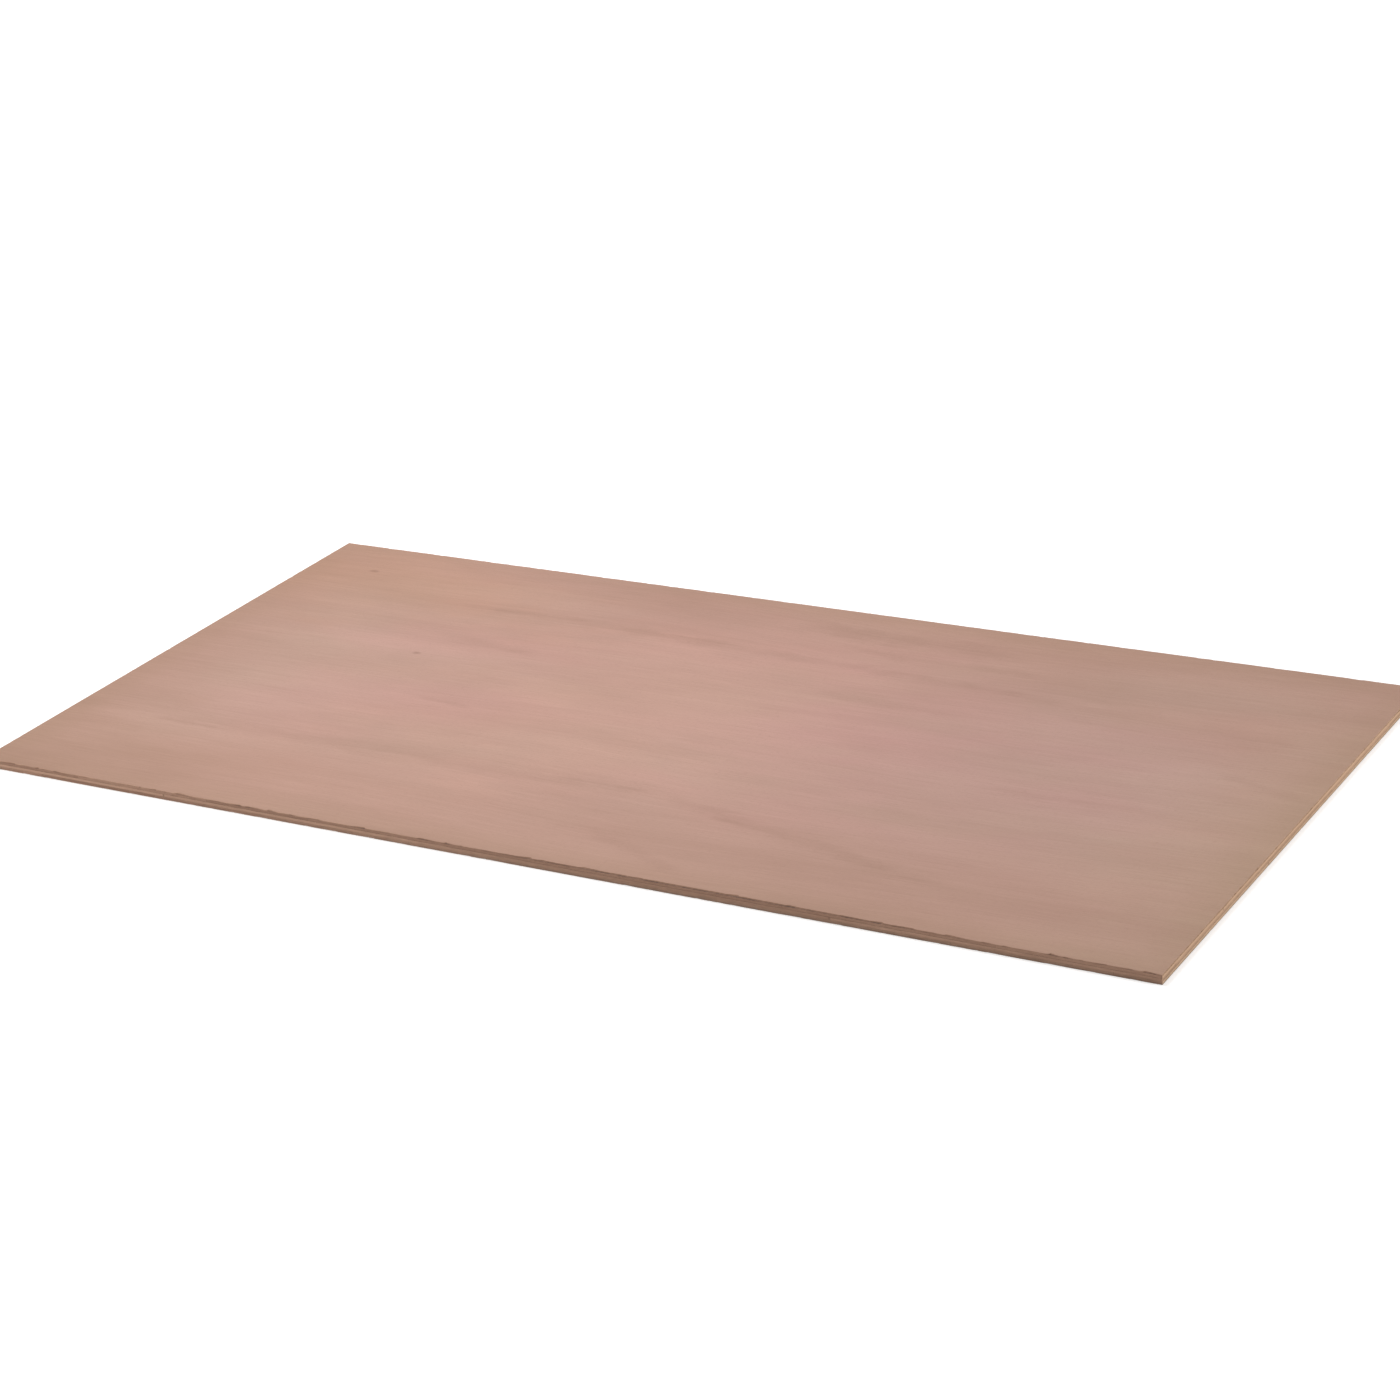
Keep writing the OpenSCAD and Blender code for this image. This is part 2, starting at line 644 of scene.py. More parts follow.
def joint_rise(joint, along, seed):
    """How a joint rises or falls along an edge, from -0.5 to 0.5, or 0 for the two broad sides."""
    inside = 0 < joint <= FACE_INDEX
    return wave(seed + JOINT_SEED + joint, along / JOINT_PITCH) - MIDDLE if inside else 0.0


def joint_shift(along, height, seed):
    """How far a row on the wall moves up or down with the joints of its ply."""
    ply = ply_at(height)
    share = (height - ply_bottoms[ply]) / (ply_tops[ply] - ply_bottoms[ply])
    lower = joint_rise(ply, along, seed)
    upper = joint_rise(ply + 1, along, seed)
    return JOINT_WANDER * (lower + share * (upper - lower))


def border_move(place):
    """How a point of the square blank moves, or a zero vector away from the border."""
    move = Vector()
    for across, half in ((Y_AXIS, WIDTH / 2), (X_AXIS, LENGTH / 2)):
        inset = half - abs(place[across])
        if inset > BORDER - TINY:
            continue
        edge = (across, 1 if place[across] > 0 else -1)
        along = place[X_AXIS if across == Y_AXIS else Y_AXIS]
        move[across] = -edge[1] * set_back(along, inset, place.z, edge)
        if inset < TINY:
            move.z = joint_shift(along, place.z, EDGE_SEEDS[edge])
    return move


moves = {vert: border_move(vert.co) for vert in sheet.verts}
for vert, move in moves.items():
    vert.co += move
print(f"sawn walls: deepest chip {max(move.length for move in moves.values()) * 1000:.2f} mm")

# %% The finished mesh
piece = add_object("sawn_sheet", bpy.data.meshes.new("sawn_sheet"))
bmesh.ops.recalc_face_normals(sheet, faces=sheet.faces)
sheet.to_mesh(piece.data)
triangles = sum(len(face.verts) - 2 for face in sheet.faces)
open_edges = sum(not edge.is_manifold for edge in sheet.edges)
sheet.free()
print(f"sawn_sheet: {triangles} triangles, {open_edges} open edges")

# %% [markdown]
# ## Veneer figure
# A rotary-cut veneer is peeled off a log like paper off a roll, so its figure is broad: soft clouds
# a hand wide, faint bands and fine lines inside them, and pores as short dark dashes. A scanned
# picture would fit one sheet at one distance. Layers of noise stretched along the grain, each with
# a size that can be measured on wood, hold up at any distance. The grain drifts sideways, and every
# layer follows that drift. The group also makes the noise that the marks further on share, because
# noise is slow and one of each kind is enough.

# %% Figure group
GRAIN_DRIFT, DRIFT_SIZE = 0.10, (1.25, 0.667, 1.0)
Layer = namedtuple("Layer", "size detail roughness share")
TONE_LAYERS = {
    "clouds": Layer((0.625, 0.2, 1.0), 3.0, 0.55, 0.50),
    "bands": Layer((2.0, 0.0714, 1.0), 2.0, 0.6, 0.16),
    "streaks": Layer((0.625, 0.0091, 1.0), 3.0, 0.65, 0.16),
    "lines": Layer((0.2, 0.0024, 1.0), 2.0, 0.6, 0.22),
}
FIBRE_SIZE = (0.083, 0.00125, 1.0)
PORE_SIZE, PORE_LIMITS = (0.010, 0.00055, 1.0), (0.57, 0.68)
WARMTH_SIZE = (0.714, 0.278, 1.0)
RAGGED_SIZE = (0.0714, 0.0278, 1.0)
BROKEN_SIZE, BROKEN_LIMITS, BROKEN_LEAST = (0.2, 0.5, 1.0), (0.35, 0.60), 0.45
SWAY_SIZE = (0.417, 0.182, 1.0)


def make_figure():
    """Tone, fibres and pores of a peeled veneer, and noise for its marks, with the grain along X."""
    outputs = ("Tone", "Fibre", "Pores", "Warmth", "Ragged", "Broken", "Sway")
    inputs = {"Position": "Vector", "Seed": "Float"}
    tree, given, result = new_group("veneer_figure", inputs, floats(outputs))
    place = given["Position"]
    offset = vector(tree, X=given["Seed"], Z=given["Seed"])
    moved = vector_maths(tree, "ADD", place, offset)["Vector"]
    drift = maths(tree, "MULTIPLY", swing(tree, moved, DRIFT_SIZE, **SOFT), GRAIN_DRIFT)
    flow = vector_maths(tree, "ADD", moved, vector(tree, Y=drift))["Vector"]
    tone = MIDDLE
    for layer in TONE_LAYERS.values():
        part = swing(tree, flow, layer.size, layer.detail, layer.roughness)
        tone = maths(tree, "MULTIPLY_ADD", part, layer.share, tone)
    broken = speckle(tree, place, BROKEN_SIZE)
    made = {
        "Tone": tone,
        "Fibre": speckle(tree, flow, FIBRE_SIZE, **FIBROUS),
        "Pores": spread(tree, speckle(tree, flow, PORE_SIZE, **SOFT), *PORE_LIMITS),
        "Warmth": speckle(tree, moved, WARMTH_SIZE),
        "Ragged": swing(tree, place, RAGGED_SIZE, **ROUGH),
        "Broken": spread(tree, broken, *BROKEN_LIMITS, BROKEN_LEAST, 1.0),
        "Sway": swing(tree, place, SWAY_SIZE, **ROUGH),
    }
    connect(tree, made, result)
    return tree


veneer_figure = make_figure()
print(f"veneer_figure: {len(veneer_figure.nodes)} nodes")

# %% [markdown]
# ## Growth streaks
# Here and there the knife cuts a dark growth line at a low angle and leaves a long streak. Noise
# gives streaks of the right kind but never in a chosen place, so each streak is drawn: a band about
# a centre line that may slope and bow, ragged at its sides, broken along its length and faded at
# its ends.

# %% Streak group
Streak = namedtuple("Streak", "start end level slope half_width strength bow", defaults=(0.0,))
RAGGEDNESS = 1.8
FADE_START = 0.55


def make_streak():
    """A mask for one dark streak along the grain."""
    own = ("Start", "End", "Level", "Slope", "Bow", "Half Width", "Strength")
    tree, given, result = new_group(
        "growth_streak", {"Position": "Vector", **floats(("Ragged", "Broken") + own)}, {"Mask": "Float"}
    )
    xyz = axes(tree, given["Position"])
    middle = maths(tree, "MULTIPLY", maths(tree, "ADD", given["Start"], given["End"]), 0.5)
    half = maths(tree, "SUBTRACT", given["End"], middle)
    along = maths(tree, "SUBTRACT", xyz["X"], middle)
    line = maths(tree, "MULTIPLY_ADD", along, given["Slope"], given["Level"])
    line = maths(tree, "MULTIPLY_ADD", maths(tree, "MULTIPLY", along, along), given["Bow"], line)
    off = maths(tree, "ABSOLUTE", maths(tree, "SUBTRACT", xyz["Y"], line))
    off = maths(tree, "DIVIDE", off, given["Half Width"])
    off = maths(tree, "MULTIPLY_ADD", given["Ragged"], RAGGEDNESS, off)
    band = maths(tree, "MULTIPLY", spread(tree, off, 1.0, 0.0), given["Broken"])
    reach = maths(tree, "DIVIDE", maths(tree, "ABSOLUTE", along), half)
    band = maths(tree, "MULTIPLY", band, spread(tree, reach, 1.0, FADE_START))
    tree.links.new(maths(tree, "MULTIPLY", band, given["Strength"]), result["Mask"])
    return tree


growth_streak = make_streak()
print(f"growth_streak: {len(growth_streak.nodes)} nodes")

# %% [markdown]
# ## Pin knots and clouds of colour
# A pin knot is a small dark oval where a twig was. The colour also drifts over the sheet in clouds,
# some as large as an arm is long and some no wider than a hand. Both are ovals about a chosen place,
# a knot with a ragged rim and a cloud with a wide soft one, so one helper measures the way from the
# middle for both of them.

# %% Knot and cloud groups
Knot = namedtuple("Knot", "x y radius")
Cloud = namedtuple("Cloud", "x y half_length half_width cast")
KNOT_LENGTH = 1.67
KNOT_RAG_SIZE = (0.00625, 0.00385, 1.0)
KNOT_RIM, KNOT_HEART = 1.0, 0.25
CLOUD_SWAY = 1.6
CLOUD_RIM, CLOUD_HEART = 1.25, 0.1


def oval(tree, given, half_length, half_width):
    """How far a position lies from the middle of an oval: 0 there, and 1 at its rim."""
    xyz = axes(tree, given["Position"])
    along = maths(tree, "DIVIDE", maths(tree, "SUBTRACT", xyz["X"], given["X"]), half_length)
    across = maths(tree, "DIVIDE", maths(tree, "SUBTRACT", xyz["Y"], given["Y"]), half_width)
    return vector_maths(tree, "LENGTH", vector(tree, X=along, Y=across))["Value"]


def make_knot():
    """A mask for one pin knot, dark in the middle and fading along the grain."""
    inputs = {"Position": "Vector", **floats(("X", "Y", "Radius"))}
    tree, given, result = new_group("pin_knot", inputs, {"Mask": "Float"})
    half_length = maths(tree, "MULTIPLY", given["Radius"], KNOT_LENGTH)
    reach = oval(tree, given, half_length, given["Radius"])
    reach = maths(tree, "ADD", reach, swing(tree, given["Position"], KNOT_RAG_SIZE))
    tree.links.new(spread(tree, reach, KNOT_RIM, KNOT_HEART), result["Mask"])
    return tree


def make_cloud():
    """A colour that takes on a cast inside a soft oval with swaying limits."""
    sizes = floats(("X", "Y", "Half Length", "Half Width", "Sway"))
    inputs = {"Position": "Vector", "Tint": "Color", "Cast": "Color", **sizes}
    tree, given, result = new_group("colour_cloud", inputs, {"Tint": "Color"})
    reach = oval(tree, given, given["Half Length"], given["Half Width"])
    reach = maths(tree, "MULTIPLY_ADD", given["Sway"], CLOUD_SWAY, reach)
    mask = spread(tree, reach, CLOUD_RIM, CLOUD_HEART)
    tree.links.new(blend(tree, mask, given["Tint"], given["Cast"], "MULTIPLY"), result["Tint"])
    return tree


pin_knot = make_knot()
colour_cloud = make_cloud()
print(f"pin_knot: {len(pin_knot.nodes)} nodes, colour_cloud: {len(colour_cloud.nodes)} nodes")

# %% [markdown]
# ## Tanned border
# A sheet in a stack tans where light and air reach it, so its border is a little darker and yellower
# than its middle, and its rim, the last few centimetres, more so. Masks painted by hand would fit one
# size only, so the border grows with the distance from the middle lines, with a soft limit that
# sways, and the rim grows towards the nearest edge.

# %% Border group
END_START, END_FULL = 0.72 * LENGTH / 2, 1.05 * LENGTH / 2
SIDE_START, SIDE_FULL = 0.15 * WIDTH / 2, 1.08 * WIDTH / 2
BORDER_SWAY = 0.3
RIM_REACH = 0.10


def make_border():
    """Masks for the tanned border of the sheet and for its rim."""
    inputs = {"Position": "Vector", "Warmth": "Float"}
    tree, given, result = new_group("tanned_border", inputs, floats(("Border", "Rim")))
    xyz = axes(tree, given["Position"])
    sway = maths(tree, "MULTIPLY", centred(tree, given["Warmth"]), BORDER_SWAY)
    out_along = maths(tree, "ABSOLUTE", xyz["X"])
    out_across = maths(tree, "ABSOLUTE", xyz["Y"])
    off_ends = spread(tree, maths(tree, "ADD", out_along, sway), END_START, END_FULL, 1.0, 0.0)
    off_sides = spread(tree, maths(tree, "ADD", out_across, sway), SIDE_START, SIDE_FULL, 1.0, 0.0)
    middle = maths(tree, "MULTIPLY", off_ends, off_sides)
    to_end = maths(tree, "SUBTRACT", LENGTH / 2, out_along)
    to_side = maths(tree, "SUBTRACT", WIDTH / 2, out_across)
    to_edge = maths(tree, "MINIMUM", to_end, to_side)
    border = maths(tree, "SUBTRACT", 1.0, middle)
    connect(tree, {"Border": border, "Rim": spread(tree, to_edge, RIM_REACH, 0.0)}, result)
    return tree


tanned_border = make_border()
print(f"tanned_border: {len(tanned_border.nodes)} nodes")

# %% [markdown]
# ## Veneers
# Face and back are the same wood, sanded and bare. Tone moves the colour between a pale pink and a
# deeper tan, warmth, border, rim and clouds tint it, and streaks, fibres, pores and knots are laid
# over that. One flat colour with a wood picture over it would look printed, because on real wood each of
# these has its own scale. Bare wood has hardly any gloss, so the shine is low, and the bump is only
# as deep as a pore.

# %% Veneer colours
PALE = (0.580, 0.365, 0.300, 1)
DEEP = (0.470, 0.288, 0.227, 1)
TANNED = (0.943, 0.905, 0.865, 1)
RIM_CAST = (0.952, 0.962, 0.925, 1)
PINKER = (1.030, 1.0, 1.024, 1)
PALER = (0.980, 1.0, 0.977, 1)
STREAK_BROWN = (0.36, 0.205, 0.150, 1)
PORE_BROWN = (0.33, 0.190, 0.140, 1)
KNOT_BROWN = (0.22, 0.110, 0.070, 1)
TONE_LIMITS = (0.25, 0.75)
WARMTH_LIMITS = (0.35, 0.65)
FIBRE_LIMITS, FIBRE_TONES = (0.25, 0.75), (0.965, 1.035)
PORE_STRENGTH, PORE_STRENGTH_IN_STREAK = 0.30, 0.5
KNOT_STRENGTH = 0.35
SHINE = 0.25
SMOOTH_LIMITS, SMOOTH_ROUGHNESS = (0.2, 0.8), (0.72, 0.62)
FIBRE_RELIEF, RELIEF_STRENGTH, RELIEF_DEPTH = 0.3, 0.35, 0.0001


def new_material(name):
    """A material with only a Principled shader and its output, and the position on the piece."""
    material = bpy.data.materials.new(name)
    tree = bare_tree(material)
    shader = add_node(tree, "BsdfPrincipled", {"Specular IOR Level": SHINE})
    add_node(tree, "OutputMaterial", {"Surface": shader.outputs[0]})
    place = add_node(tree, "TexCoord").outputs["Object"]
    return material, tree, shader.inputs, place


def sockets_of(mark):
    """The fields of a streak, knot or cloud, named as the inputs of its group."""
    return {field.replace("_", " ").title(): value for field, value in mark._asdict().items()}


def strongest(tree, group, marks, shared):
    """The strongest mask of several marks of one kind."""
    masks = [use_group(tree, group, {**shared, **sockets_of(mark)})["Mask"] for mark in marks]
    return functools.reduce(lambda first, second: maths(tree, "MAXIMUM", first, second), masks)


# %% Veneer material
def veneer_colour(tree, place, wood, streaks, knots, clouds):
    """The colour of a veneer, from its figure and its marks."""
    shared = {"Position": place, "Ragged": wood["Ragged"], "Broken": wood["Broken"]}
    streak = strongest(tree, growth_streak, streaks, shared)
    knot = strongest(tree, pin_knot, knots, {"Position": place})
    tint = blend(tree, spread(tree, wood["Warmth"], *WARMTH_LIMITS), PALER, PINKER)
    tan = use_group(tree, tanned_border, {"Position": place, "Warmth": wood["Warmth"]})
    tint = blend(tree, tan["Border"], tint, TANNED)
    tint = blend(tree, tan["Rim"], tint, RIM_CAST, "MULTIPLY")
    for cloud in clouds:
        values = {"Position": place, "Sway": wood["Sway"], "Tint": tint, **sockets_of(cloud)}
        tint = use_group(tree, colour_cloud, values)["Tint"]
    colour = blend(tree, spread(tree, wood["Tone"], *TONE_LIMITS), DEEP, PALE)
    colour = blend(tree, 1.0, colour, tint, "MULTIPLY")
    colour = blend(tree, streak, colour, STREAK_BROWN)
    fibre = spread(tree, wood["Fibre"], *FIBRE_LIMITS, *FIBRE_TONES)
    colour = blend(tree, 1.0, colour, fibre, "MULTIPLY")
    strength = maths(tree, "MULTIPLY_ADD", streak, PORE_STRENGTH_IN_STREAK, PORE_STRENGTH)
    colour = blend(tree, maths(tree, "MULTIPLY", wood["Pores"], strength), colour, PORE_BROWN)
    return blend(tree, maths(tree, "MULTIPLY", knot, KNOT_STRENGTH), colour, KNOT_BROWN)


def bumped(tree, height, strength, depth):
    """The normal of a surface with a shallow relief."""
    relief = {"Height": height, "Strength": strength, "Distance": depth}
    return add_node(tree, "Bump", relief).outputs[0]


def veneer_material(name, seed, streaks, knots, clouds):
    """Sanded bare veneer, with its own streaks, knots and clouds of colour."""
    material, tree, shader, place = new_material(name)
    wood = use_group(tree, veneer_figure, {"Position": place, "Seed": seed})
    fibres = maths(tree, "MULTIPLY", wood["Fibre"], FIBRE_RELIEF)
    height = maths(tree, "SUBTRACT", fibres, wood["Pores"])
    look = {
        "Base Color": veneer_colour(tree, place, wood, streaks, knots, clouds),
        "Roughness": spread(tree, wood["Fibre"], *SMOOTH_LIMITS, *SMOOTH_ROUGHNESS),
        "Normal": bumped(tree, height, RELIEF_STRENGTH, RELIEF_DEPTH),
    }
    connect(tree, look, shader)
    return material


# %% [markdown]
# ## Marks of this sheet
# The marks of the face are set one by one, first from the photograph, then moved and toned until
# measured differences between the two pictures were small. A streak has its start and end along the
# sheet, its level across it, its slope, half its width, how dark it is and, if it isn't straight, its
# bow. The back isn't seen in the photograph, so it gets a few marks of its own.

# %% Face marks
FACE_SEED = 2.0
FACE_STREAKS = (
    Streak(-0.94, 0.81, 0.360, -0.042, 0.028, 0.22, bow=-0.02),
    Streak(-0.73, -0.42, 0.380, 0.030, 0.017, 0.37),
    Streak(-0.44, -0.02, 0.373, -0.025, 0.014, 0.31),
    Streak(0.18, 0.60, 0.341, -0.070, 0.026, 0.32),
    Streak(-1.04, 0.27, -0.305, 0.022, 0.042, 0.19),
    Streak(-1.04, -0.84, -0.330, 0.0, 0.016, 0.24),
    Streak(-0.15, 0.12, -0.295, 0.010, 0.015, 0.32),
    Streak(0.05, 0.87, -0.384, -0.250, 0.032, 0.24),
    Streak(0.21, 0.51, -0.366, -0.200, 0.014, 0.32),
    Streak(0.05, 0.33, -0.522, -0.420, 0.025, 0.18),
    Streak(-0.08, 0.50, 0.506, -0.030, 0.050, 0.32),
    Streak(0.10, 0.52, 0.206, -0.040, 0.026, 0.16),
    Streak(-0.59, -0.43, -0.072, -0.100, 0.013, 0.18),
    Streak(0.62, 1.05, -0.068, 0.0, 0.022, 0.17),
    Streak(0.94, 1.12, 0.287, -0.040, 0.016, 0.09),
    Streak(0.06, 0.58, 0.426, -0.020, 0.024, 0.22),
    Streak(1.00, 1.22, 0.100, -0.280, 0.024, 0.13),
    Streak(-0.74, -0.45, 0.211, -0.110, 0.027, 0.20),
)
FACE_KNOTS = (Knot(-1.062, 0.482, 0.010), Knot(-0.707, 0.122, 0.008))
FACE_CLOUDS = (
    Cloud(-0.98, 0.46, 0.60, 0.24, (1.035, 1.0, 0.94, 1)),
    Cloud(-0.12, 0.04, 0.85, 0.45, (1.078, 1.026, 1.038, 1)),
    Cloud(-0.30, -0.18, 0.50, 0.22, (1.030, 1.030, 1.028, 1)),
    Cloud(-0.58, -0.46, 0.42, 0.17, (1.035, 1.030, 1.028, 1)),
    Cloud(-1.14, -0.15, 0.26, 0.26, (0.968, 0.965, 0.960, 1)),
    Cloud(-0.15, 0.42, 0.75, 0.20, (1.014, 0.986, 1.012, 1)),
    Cloud(-0.70, 0.58, 0.40, 0.08, (1.055, 1.050, 1.105, 1)),
    Cloud(0.04, 0.292, 0.50, 0.042, (1.040, 1.045, 1.045, 1)),
    Cloud(-0.98, 0.305, 0.34, 0.060, (1.075, 1.075, 1.075, 1)),
    Cloud(-0.28, 0.362, 0.28, 0.040, (1.060, 1.060, 1.060, 1)),
    Cloud(-0.58, -0.050, 0.24, 0.080, (0.935, 0.935, 0.935, 1)),
    Cloud(-0.35, 0.048, 0.18, 0.070, (1.060, 1.060, 1.060, 1)),
    Cloud(0.90, 0.325, 0.30, 0.060, (1.070, 1.070, 1.070, 1)),
    Cloud(0.62, 0.06, 0.55, 0.45, (0.975, 0.962, 1.000, 1)),
    Cloud(0.80, 0.46, 0.26, 0.15, (1.035, 1.065, 1.072, 1)),
    Cloud(1.20, -0.14, 0.32, 0.62, (1.030, 1.108, 1.072, 1)),
    Cloud(-1.14, -0.50, 0.42, 0.24, (0.905, 0.910, 0.870, 1)),
)
face_veneer = veneer_material("face_veneer", FACE_SEED, FACE_STREAKS, FACE_KNOTS, FACE_CLOUDS)
print(f"face: {len(FACE_STREAKS)} streaks, {len(FACE_KNOTS)} knots, {len(FACE_CLOUDS)} clouds")

# %% Back marks
BACK_SEED = 9.0
BACK_STREAKS = (
    Streak(-1.10, 0.40, 0.180, 0.030, 0.030, 0.40, bow=0.02),
    Streak(-0.30, 1.05, -0.240, -0.060, 0.024, 0.36, bow=0.05),
    Streak(-0.90, 0.10, -0.460, 0.020, 0.026, 0.30),
)
BACK_KNOTS = (Knot(0.52, 0.330, 0.012), Knot(-0.41, -0.150, 0.010), Knot(0.94, -0.420, 0.008))
BACK_CLOUDS = (
    Cloud(0.50, 0.20, 0.80, 0.35, (1.03, 1.0, 1.02, 1)),
    Cloud(-0.80, -0.20, 0.60, 0.40, (0.99, 1.0, 0.955, 1)),
)
back_veneer = veneer_material("back_veneer", BACK_SEED, BACK_STREAKS, BACK_KNOTS, BACK_CLOUDS)
print(f"back: {len(BACK_STREAKS)} streaks, {len(BACK_KNOTS)} knots, {len(BACK_CLOUDS)} clouds")

# %% [markdown]
# ## Strips of veneer
# Inner plies are laid up from strips, so the tone steps a little from strip to strip and a thin dark
# joint shows between them. Each strip could be modelled, but they lie flush, so colour is enough. A
# one-dimensional Voronoi texture cuts a line into cells of uneven length: its colour gives each
# strip a tone, and the distance to a cell's end gives the joints.

# %% Strip group
PLY_STEP = 7.37
JOINT_EDGE, JOINT_HEART = 0.002, 0.0006


def cells(tree, place, feature):
    """Cells of uneven length along a line, about one unit each."""
    line = {"W": place, "Scale": 1.0}
    return add_node(tree, "TexVoronoi", line, voronoi_dimensions="1D", feature=feature).outputs


def make_strips():
    """A tone for each veneer strip along an edge, and the thin joints between the strips."""
    inputs = floats(("Along", "Ply", "Strip"))
    tree, given, result = new_group("veneer_strips", inputs, floats(("Tone", "Joint")))
    place = maths(tree, "DIVIDE", given["Along"], given["Strip"])
    place = maths(tree, "MULTIPLY_ADD", given["Ply"], PLY_STEP, place)
    tone = add_node(tree, "SeparateColor", {0: cells(tree, place, "F1")["Color"]}).outputs[0]
    to_end = cells(tree, place, "DISTANCE_TO_EDGE")["Distance"]
    joint = spread(tree, to_end, JOINT_EDGE, JOINT_HEART)
    connect(tree, {"Tone": centred(tree, tone), "Joint": joint}, result)
    return tree


veneer_strips = make_strips()
print(f"veneer_strips: {len(veneer_strips.nodes)} nodes")

# %% [markdown]
# ## Sawn grain
# On an edge, side grain is a paler band streaked along the edge, and end grain is a darker one,
# stippled with the open ends of the pores. The saw leaves fine upright marks on both. A knife that
# peels a log also cracks the veneer it bends away: on end grain these lathe checks show as thin
# slanting lines, a few millimetres apart, that run only part of the way through the ply. The foot of
# the edge is painted darker and greyer, as painted shade where the edge meets the floor. One group
# makes all of it for the four kinds of edge, and is given the size of the fibres.

# %% Sawn grain group
TONE_DRIFT_SIZE, TONE_DRIFT_SHARE = (0.4, 0.0167, 1.0), 0.45
FLECK_SIZE, FLECK_SHARE = (0.025, 0.003, 1.0), 0.6
SAW_SIZE, SAW_SHARE = (0.0011, 0.0714, 1.0), 0.15
GRAIN_SHARE = 0.45
CHECK_PITCH, CHECK_SLANT, CHECK_WAVER = 0.0026, 0.7, 0.8
CHECK_EDGE, CHECK_HEART = 0.07, 0.02
CHECK_RUN_SIZE, CHECK_RUN_LIMITS = (0.0022, 0.0026, 1.0), (0.46, 0.58)
# Painted shade: the foot of each edge is darkened and greyed where it meets the floor.
FOOT_SHADE_LIMITS, FOOT_SHADE_SWAY = (0.008, 0.0015), 0.004


def make_sawn_grain():
    """The looks of a sawn ply, with X along the edge and Y up it."""
    inputs = {"Position": "Vector", "Fibre Size": "Vector"}
    outputs = floats(("Tone", "Grain", "Saw Marks", "Lathe Checks", "Foot Shade"))
    tree, given, result = new_group("sawn_grain", inputs, outputs)
    place = given["Position"]
    grain = speckle(tree, place, given["Fibre Size"], **ROUGH)
    saw = speckle(tree, place, SAW_SIZE, **SOFT)
    flecks = swing(tree, place, FLECK_SIZE)
    tone = maths(tree, "MULTIPLY_ADD", swing(tree, place, TONE_DRIFT_SIZE), TONE_DRIFT_SHARE, MIDDLE)
    tone = maths(tree, "MULTIPLY_ADD", flecks, FLECK_SHARE, tone)
    tone = maths(tree, "MULTIPLY_ADD", centred(tree, grain), GRAIN_SHARE, tone)
    tone = maths(tree, "MULTIPLY_ADD", centred(tree, saw), SAW_SHARE, tone)
    xyz = axes(tree, place)
    slanted = maths(tree, "MULTIPLY_ADD", xyz["Y"], CHECK_SLANT, xyz["X"])
    slanted = maths(tree, "DIVIDE", slanted, CHECK_PITCH)
    slanted = maths(tree, "MULTIPLY_ADD", flecks, CHECK_WAVER, slanted)
    crack = spread(tree, cells(tree, slanted, "DISTANCE_TO_EDGE")["Distance"], CHECK_EDGE, CHECK_HEART)
    run = spread(tree, speckle(tree, place, CHECK_RUN_SIZE, **SOFT), *CHECK_RUN_LIMITS)
    # A mask for the painted shade at the foot of the edge, with a swaying top.
    foot_shade = spread(tree, maths(tree, "MULTIPLY_ADD", flecks, FOOT_SHADE_SWAY, xyz["Y"]), *FOOT_SHADE_LIMITS)
    checks = maths(tree, "MULTIPLY", crack, run)
    made = {"Tone": tone, "Grain": grain, "Saw Marks": saw, "Lathe Checks": checks, "Foot Shade": foot_shade}
    connect(tree, made, result)
    return tree


sawn_grain = make_sawn_grain()
print(f"sawn_grain: {len(sawn_grain.nodes)} nodes")

# %% [markdown]
# ## Edges and glue
# The four kinds of edge share these groups and differ in colour, in the size of their fibres and in
# the width of their strips. Side grain on the long edges is painted paler towards the left and darker
# towards the right, as painted light and shade, and the painted shade at their foot grows towards the
# right. The glue is a dark resin that was pressed out thicker in some places than in others. It could
# share the colour of the wood and be only a dark line in it, but then chips would show no ledge, so it
# has faces and a finish of its own.

# %% Edge colours
EDGE_COLOURS = {
    "long_edge_side_grain": ((0.585, 0.358, 0.252, 1), (0.415, 0.243, 0.168, 1)),
    "long_edge_end_grain": ((0.480, 0.283, 0.198, 1), (0.360, 0.204, 0.140, 1)),
    "short_edge_side_grain": ((0.600, 0.388, 0.255, 1), (0.480, 0.302, 0.195, 1)),
    "short_edge_end_grain": ((0.495, 0.313, 0.202, 1), (0.361, 0.221, 0.138, 1)),
}
GLUE_BROWN = (0.25, 0.145, 0.098, 1)
STRIP_SHARE = 0.35
EDGE_TONE_LIMITS = (0.15, 0.80)
# Painted light: long-edge side grain is paler to the left and darker to the right.
PAINTED_LIGHT_LEFT = (0.2, -0.5, -0.26, 0.11)
# Painted shade at the foot of the edges, stronger towards the right on the long edges.
FOOT_SHADE_RIGHT, FOOT_SHADE_CAST = (-0.9, 0.3, 0.1, 1.0), (0.84, 0.91, 0.93, 1)
STRIP_JOINT_STRENGTH, CHECK_STRENGTH = 0.7, 0.55


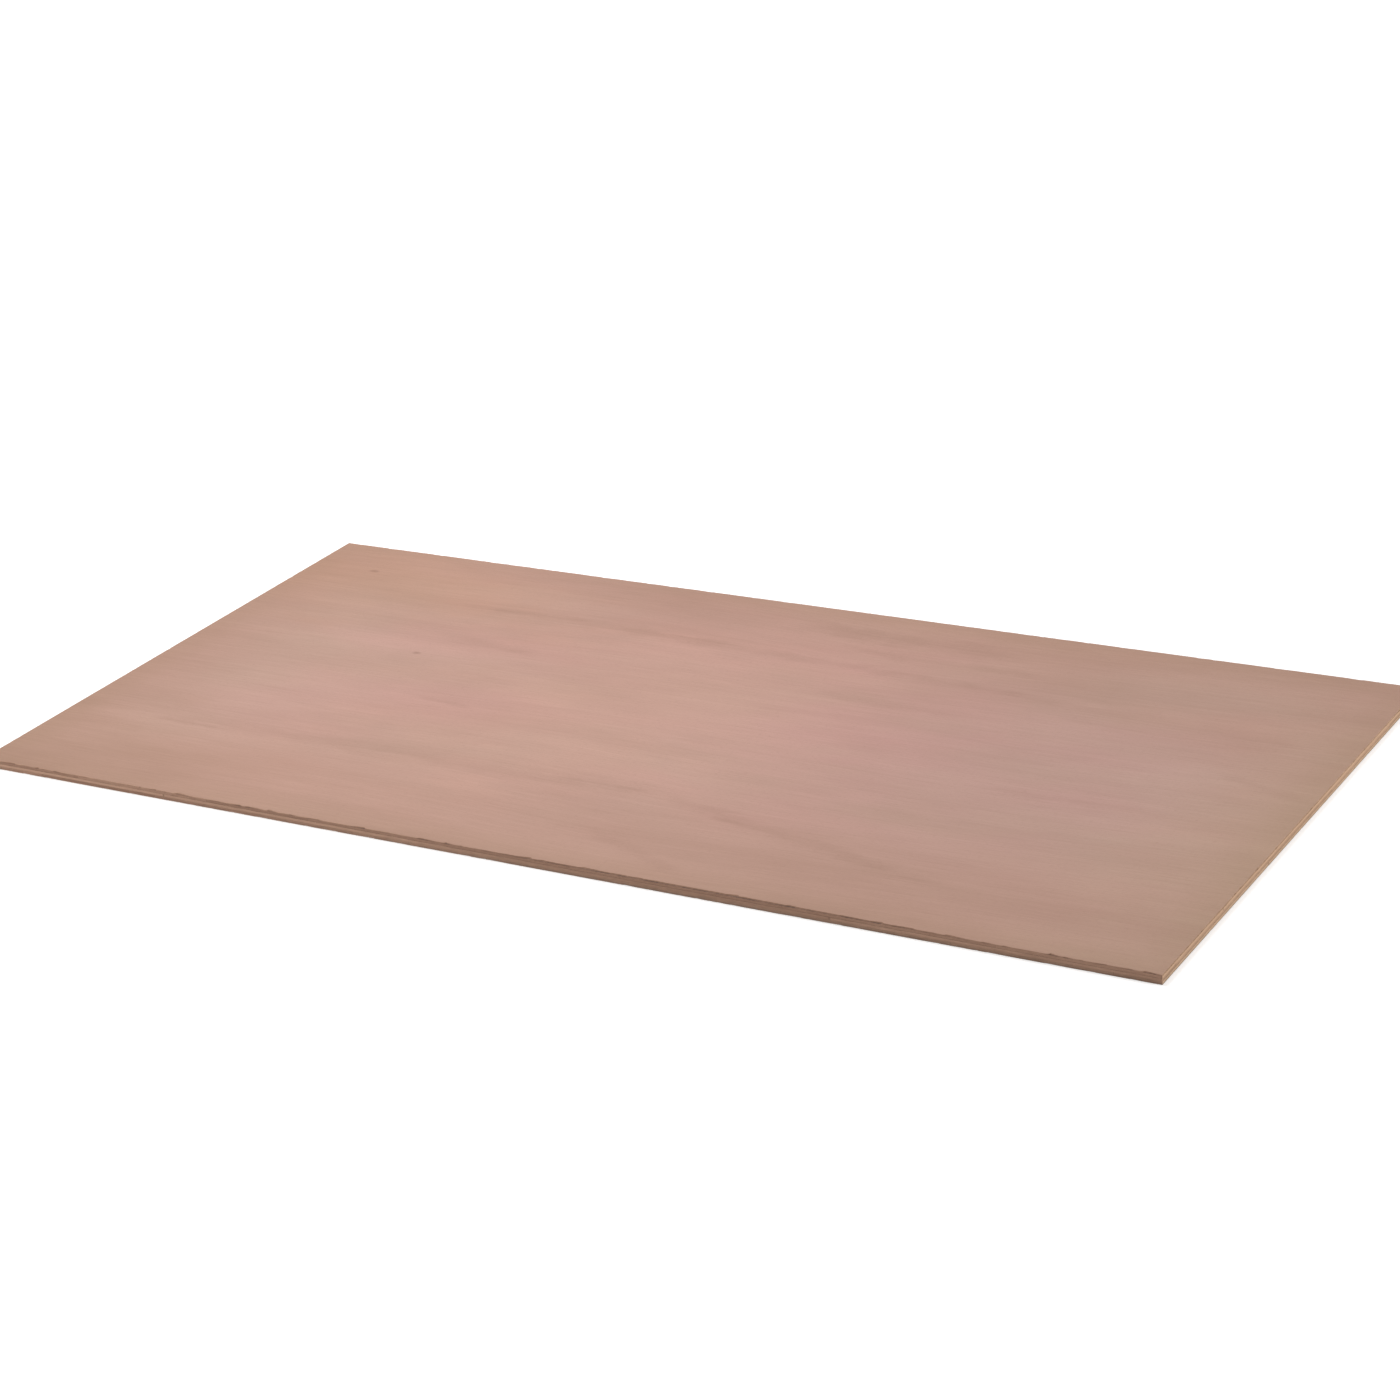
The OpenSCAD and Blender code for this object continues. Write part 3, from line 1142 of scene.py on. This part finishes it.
def edge_colour(tree, name, along, sawn, strips):
    """The colour of a sawn ply on one kind of edge."""
    light, dark = EDGE_COLOURS[name]
    tone = maths(tree, "MULTIPLY_ADD", strips["Tone"], STRIP_SHARE, sawn["Tone"])
    foot_shade = sawn["Foot Shade"]
    dark_lines = maths(tree, "MULTIPLY", strips["Joint"], STRIP_JOINT_STRENGTH)
    # Painted light and shade along the long edges: paler at the left, darker at the right.
    if name == "long_edge_side_grain":
        tone = maths(tree, "ADD", tone, spread(tree, along, *PAINTED_LIGHT_LEFT))
    # The painted foot shade grows towards the right on the long edges.
    if name.startswith("long"):
        foot_shade = maths(tree, "MULTIPLY", foot_shade, spread(tree, along, *FOOT_SHADE_RIGHT))
    if name.endswith("end_grain"):
        checks = maths(tree, "MULTIPLY", sawn["Lathe Checks"], CHECK_STRENGTH)
        dark_lines = maths(tree, "MAXIMUM", dark_lines, checks)
    colour = blend(tree, spread(tree, tone, *EDGE_TONE_LIMITS), dark, light)
    # Painted shade at the foot of the edge.
    colour = blend(tree, foot_shade, colour, FOOT_SHADE_CAST, "MULTIPLY")
    return blend(tree, dark_lines, colour, GLUE_BROWN)


# %% Edge materials
END_FIBRE_SIZE, END_STRIP = (0.0024, 0.0011, 1.0), 0.31
SIDE_FIBRE_SIZE, SIDE_STRIP = (0.0625, 0.00071, 1.0), 1.3
SAWN_LIMITS, SAWN_ROUGHNESS = (0.2, 0.8), (0.85, 0.72)
SAW_RELIEF, SAWN_RELIEF_STRENGTH, SAWN_RELIEF_DEPTH = 0.4, 0.5, 0.0002


def edge_material(name):
    """A sawn ply, as side grain or end grain, on a long or a short edge."""
    material, tree, shader, place = new_material(name)
    end_grain = name.endswith("end_grain")
    xyz = axes(tree, place)
    along, across = (xyz["X"], xyz["Y"]) if name.startswith("long") else (xyz["Y"], xyz["X"])
    turned = vector(tree, X=along, Y=xyz["Z"], Z=across)
    fibre, strip = (END_FIBRE_SIZE, END_STRIP) if end_grain else (SIDE_FIBRE_SIZE, SIDE_STRIP)
    sawn = use_group(tree, sawn_grain, {"Position": turned, "Fibre Size": fibre})
    ply = add_node(tree, "Attribute", attribute_name="ply").outputs["Fac"]
    strips = use_group(tree, veneer_strips, {"Along": along, "Ply": ply, "Strip": strip})
    height = maths(tree, "MULTIPLY_ADD", sawn["Saw Marks"], SAW_RELIEF, sawn["Grain"])
    if end_grain:
        height = maths(tree, "SUBTRACT", height, sawn["Lathe Checks"])
    look = {
        "Base Color": edge_colour(tree, name, along, sawn, strips),
        "Roughness": spread(tree, sawn["Grain"], *SAWN_LIMITS, *SAWN_ROUGHNESS),
        "Normal": bumped(tree, height, SAWN_RELIEF_STRENGTH, SAWN_RELIEF_DEPTH),
    }
    connect(tree, look, shader)
    return material


edges = {name: edge_material(name) for name in EDGE_COLOURS}
print("edges:", list(edges))

# %% Glue and slots
GLUE_BLACK = (0.10, 0.055, 0.036, 1)
GLUE_SPOT_SIZE, GLUE_LIMITS, GLUE_ROUGHNESS = (0.0167, 0.0167, 0.005), (0.3, 0.7), (0.5, 0.7)


def glue_material():
    """Dark resin, thicker in some places than in others."""
    material, tree, shader, place = new_material("glue_line")
    spots = speckle(tree, place, GLUE_SPOT_SIZE)
    colour = blend(tree, spread(tree, spots, *GLUE_LIMITS), GLUE_BLACK, GLUE_BROWN)
    roughness = spread(tree, spots, *GLUE_LIMITS, *GLUE_ROUGHNESS)
    connect(tree, {"Base Color": colour, "Roughness": roughness}, shader)
    return material


finishes = {"face_veneer": face_veneer, "back_veneer": back_veneer, "glue_line": glue_material(), **edges}
for name in SLOTS:
    piece.data.materials.append(finishes[name])
print("finishes:", [material.name for material in piece.data.materials])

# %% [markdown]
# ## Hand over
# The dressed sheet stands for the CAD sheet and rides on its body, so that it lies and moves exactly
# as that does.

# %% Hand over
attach(piece, "root")
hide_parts("plywood_sheet")
